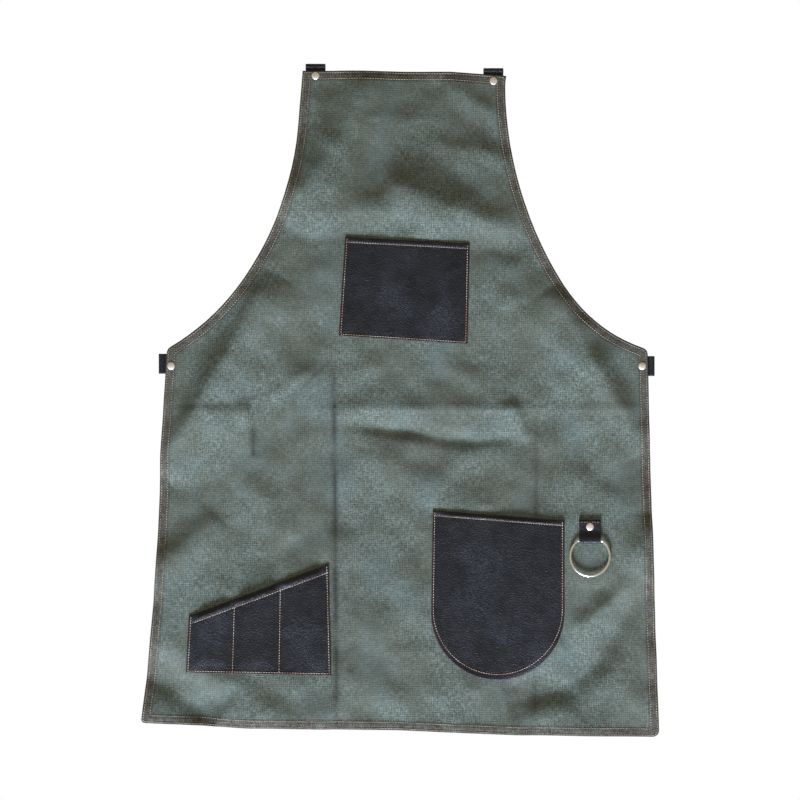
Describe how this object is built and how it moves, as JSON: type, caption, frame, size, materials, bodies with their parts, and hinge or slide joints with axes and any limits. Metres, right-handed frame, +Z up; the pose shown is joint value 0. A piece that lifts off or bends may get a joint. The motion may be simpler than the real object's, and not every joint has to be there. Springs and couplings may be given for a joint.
{
  "type": "work apron",
  "caption": "Bib work apron in canvas with a turned and stitched hem, leather patch pockets, riveted leather strap loops and a towel ring that swings in a leather tab.",
  "frame": {"origin": "midway between the eyes of the two bib loops, on the middle of the canvas's thickness", "axes": "+Z up along the hanging apron, -Y out of its front, +X across it, to the right as seen from in front"},
  "size_m": [0.6727, 0.0166, 0.8753],
  "materials": {
    "canvas": "matt, woven, washed",
    "leather": "pebbled, low sheen",
    "hem_thread": "matt cotton thread",
    "pocket_thread": "matt cotton thread",
    "ring_metal": "polished, pale gold",
    "rivet_metal": "satin, copper-nickel"
  },
  "bodies": {
    "apron": {"apron_panel": "canvas", "chest_pocket": "leather", "tool_pocket": "leather", "round_pocket": "leather", "ring_tab": "leather", "hem_thread_outer": "hem_thread", "hem_thread_inner": "hem_thread", "chest_pocket_thread": "pocket_thread", "tool_pocket_thread": "pocket_thread", "round_pocket_thread": "pocket_thread", "ring_tab_thread": "hem_thread", "bib_left_loop": "leather", "bib_right_loop": "leather", "waist_left_loop": "leather", "waist_right_loop": "leather", "bib_left_rivet_cap": "rivet_metal", "bib_left_rivet_post": "rivet_metal", "bib_right_rivet_cap": "rivet_metal", "bib_right_rivet_post": "rivet_metal", "waist_left_rivet_cap": "rivet_metal", "waist_left_rivet_post": "rivet_metal", "waist_right_rivet_cap": "rivet_metal", "waist_right_rivet_post": "rivet_metal", "ring_tab_rivet_cap": "rivet_metal", "ring_tab_rivet_post": "rivet_metal"},
    "ring": {"towel_ring": "ring_metal"}
  },
  "joints": [
    {"name": "ring_swing", "type": "hinge", "parent": "apron", "child": "ring", "pos_m": [0.2408, -0.00385, -0.6136], "axis": [-1, 0, 0], "range_deg": [0, 175]}
  ]
}
